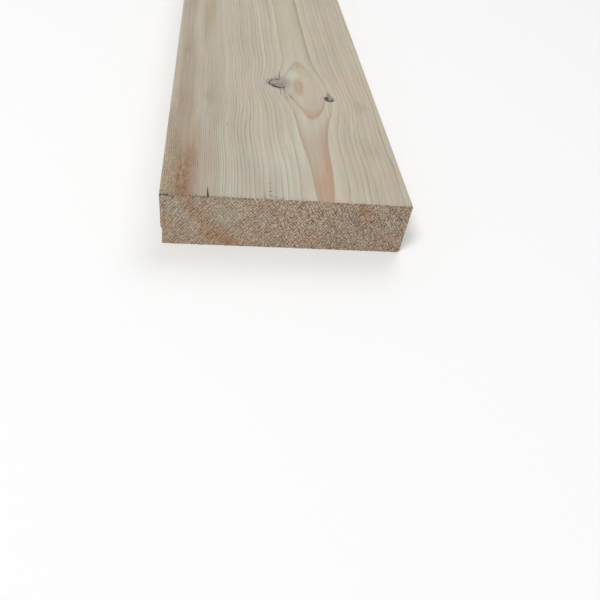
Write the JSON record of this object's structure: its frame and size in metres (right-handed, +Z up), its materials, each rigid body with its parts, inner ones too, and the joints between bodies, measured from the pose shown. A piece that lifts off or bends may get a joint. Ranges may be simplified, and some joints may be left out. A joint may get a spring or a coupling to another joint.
{
  "type": "timber plank",
  "caption": "Planed softwood board of plain rectangular section with lightly eased long edges and square-sawn ends, for framing, shelving, flooring and general carpentry.",
  "frame": {"origin": "middle of the underside, on the surface that the board lies on", "axes": "+X across the width, +Y along the grain away from the end that the picture shows, +Z up through the thickness"},
  "size_m": [0.145, 2, 0.035],
  "materials": {
    "planed_pine": "planed, unfinished, matt; ends rough from the saw"
  },
  "bodies": {
    "root": {"plank": "planed_pine"}
  },
  "joints": []
}
